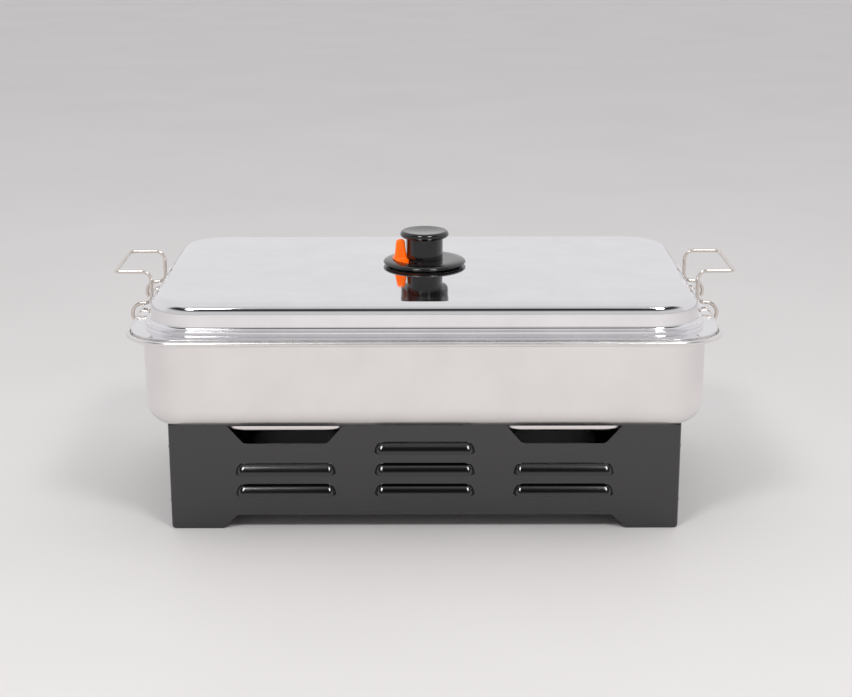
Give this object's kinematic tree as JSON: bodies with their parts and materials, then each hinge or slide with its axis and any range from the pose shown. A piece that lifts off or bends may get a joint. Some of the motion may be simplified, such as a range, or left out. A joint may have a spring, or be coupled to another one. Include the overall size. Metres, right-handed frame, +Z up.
{
  "type": "chafing dish food warmer",
  "caption": "Rectangular food warmer: vented sheet-metal stand, stainless water pan, clamped lid with wire clips and a vented knob.",
  "frame": {"origin": "on the table, under the centre of the stand", "axes": "+X along the length, +Y towards the back, +Z up"},
  "size_m": [0.5896, 0.337, 0.2554],
  "materials": {
    "stand_paint": "satin dark grey powder coat",
    "tray_paint": "satin dark grey powder coat",
    "rivet_dark": "satin",
    "zinc": "bright zinc plate",
    "pan_steel": "satin polished stainless",
    "food_steel": "satin stainless",
    "lid_steel": "mirror polished stainless",
    "bracket_steel": "satin stainless",
    "wire_steel": "drawn stainless wire",
    "foot_plastic": "satin moulded plastic",
    "knob_plastic": "gloss moulded plastic",
    "vent_plastic": "gloss moulded plastic",
    "screw_steel": "bright steel",
    "cup_steel": "satin, heat darkened",
    "can_tin": "lacquered tinplate",
    "wick_fibre": "pressed fibre",
    "snuffer_steel": "satin, heat darkened"
  },
  "bodies": {
    "stand": {"front_panel": "stand_paint", "back_panel": "stand_paint", "left_panel": "stand_paint", "right_panel": "stand_paint", "burner_tray": "tray_paint", "panel_rivets": "rivet_dark", "tray_screws": "zinc"},
    "water_pan": {"water_pan": "pan_steel", "left_bracket": "bracket_steel", "right_bracket": "bracket_steel", "bracket_rivets": "bracket_steel"},
    "food_pan": {"food_pan": "food_steel"},
    "lid": {"lid": "lid_steel", "knob_foot": "foot_plastic", "knob_base": "knob_plastic", "knob_grip": "knob_plastic", "knob_screw": "screw_steel", "knob_washer": "screw_steel"},
    "vent_lever": {"vent_lever": "vent_plastic"},
    "left_clip": {"left_clip": "wire_steel"},
    "right_clip": {"right_clip": "wire_steel"},
    "left_burner": {"left_burner_cup": "cup_steel", "left_fuel_can": "can_tin", "left_wick_pad": "wick_fibre"},
    "right_burner": {"right_burner_cup": "cup_steel", "right_fuel_can": "can_tin", "right_wick_pad": "wick_fibre"},
    "left_snuffer": {"left_snuffer": "snuffer_steel"},
    "right_snuffer": {"right_snuffer": "snuffer_steel"}
  },
  "joints": [
    {"name": "pan_lift", "type": "slide", "parent": "stand", "child": "water_pan", "axis": [0, 0, 1], "range_m": [0, 0.06]},
    {"name": "lid_lift", "type": "slide", "parent": "water_pan", "child": "lid", "axis": [0, 0, 1], "range_m": [0, 0.04]},
    {"name": "food_pan_lift", "type": "slide", "parent": "water_pan", "child": "food_pan", "axis": [0, 0, 1], "range_m": [0, 0.0201]},
    {"name": "left_clip_swing", "type": "hinge", "parent": "water_pan", "child": "left_clip", "pos_m": [-0.27148, 0, 0.1742], "axis": [0, -1, 0], "range_deg": [0, 160.2]},
    {"name": "right_clip_swing", "type": "hinge", "parent": "water_pan", "child": "right_clip", "pos_m": [0.27148, 0, 0.1742], "axis": [0, 1, 0], "range_deg": [0, 160.2]},
    {"name": "vent_turn", "type": "hinge", "parent": "lid", "child": "vent_lever", "pos_m": [0, 0, 0.2239], "axis": [0, 0, 1], "range_deg": [0, 30]},
    {"name": "left_burner_lift", "type": "slide", "parent": "stand", "child": "left_burner", "axis": [0, 0, 1], "range_m": [0, 0.02]},
    {"name": "right_burner_lift", "type": "slide", "parent": "stand", "child": "right_burner", "axis": [0, 0, 1], "range_m": [0, 0.02]},
    {"name": "left_snuffer_swing", "type": "hinge", "parent": "left_burner", "child": "left_snuffer", "pos_m": [-0.13, -0.047, 0.0424], "axis": [0, 0, 1], "range_deg": [0, 95]},
    {"name": "right_snuffer_swing", "type": "hinge", "parent": "right_burner", "child": "right_snuffer", "pos_m": [0.13, 0.047, 0.0424], "axis": [0, 0, 1], "range_deg": [0, 95]}
  ],
  "couplings": [
    {"joint": "left_clip_swing", "follows": "lid_lift", "rad_per_m": 69.813},
    {"joint": "right_clip_swing", "follows": "lid_lift", "rad_per_m": 69.813},
    {"joint": "food_pan_lift", "follows": "lid_lift", "ratio": 0.5}
  ]
}
